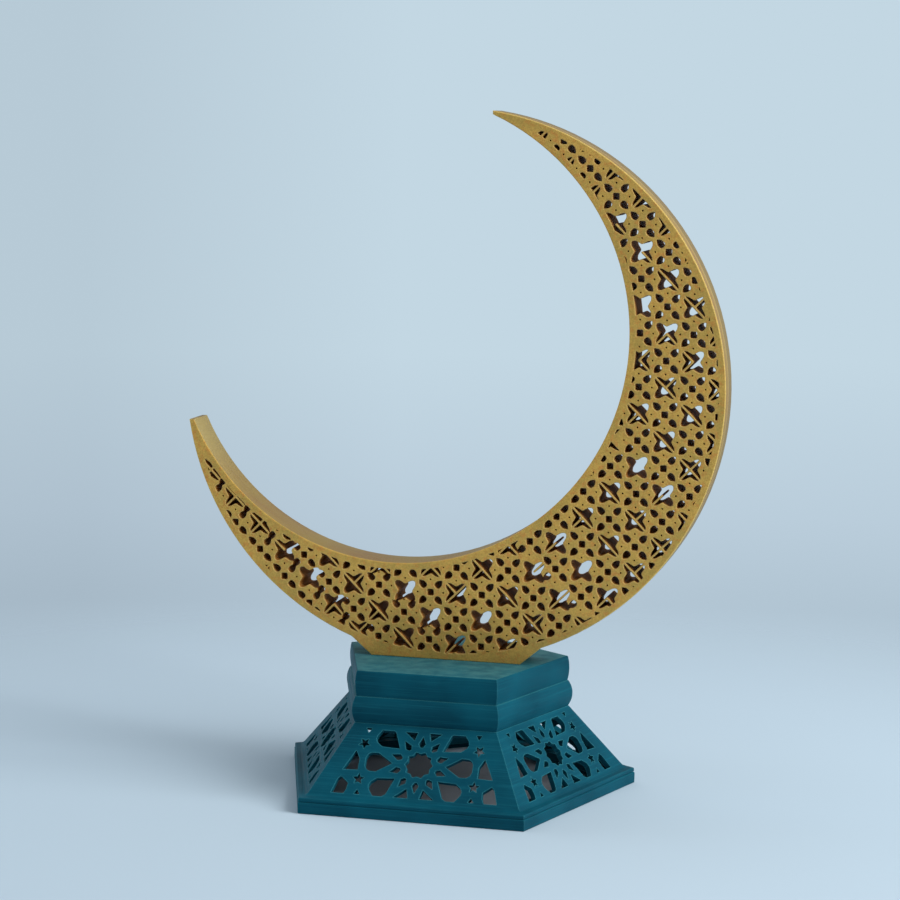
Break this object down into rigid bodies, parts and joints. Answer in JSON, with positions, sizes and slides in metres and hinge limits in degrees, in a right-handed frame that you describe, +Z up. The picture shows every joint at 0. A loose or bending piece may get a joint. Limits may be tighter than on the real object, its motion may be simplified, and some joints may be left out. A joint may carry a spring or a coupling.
{
  "type": "eid crescent ornament",
  "caption": "Flat gold crescent with a lattice of four-armed stars running straight through it, lifting out of a flared five-sided base with pierced girih sides.",
  "frame": {"origin": "middle of the base's underside, on the axis of the five-sided base", "axes": "+Z up, +X to the ornament's right seen from its front, +Y to its back; the front side of the base faces -Y"},
  "size_m": [0.159, 0.1006, 0.1977],
  "materials": {
    "gold_print": "silk gold printed plastic, face laid flat, dark through openings",
    "gold_rim": "silk gold printed plastic, layers along the edge",
    "teal_print": "satin teal printed plastic with level layers",
    "teal_skirt": "satin teal printed plastic, pierced"
  },
  "bodies": {
    "base": {"base_plinth": "teal_print", "pierced_skirt": "teal_skirt", "base_cap": "teal_print", "key_socket": "teal_print"},
    "crescent": {"crescent_lattice": "gold_print", "crescent_outer_rim": "gold_rim", "crescent_inner_rim": "gold_rim", "crescent_foot_key": "gold_rim"}
  },
  "joints": [
    {"name": "crescent_lift", "type": "slide", "parent": "base", "child": "crescent", "axis": [0, 0, 1], "range_m": [0, 0.012]}
  ]
}
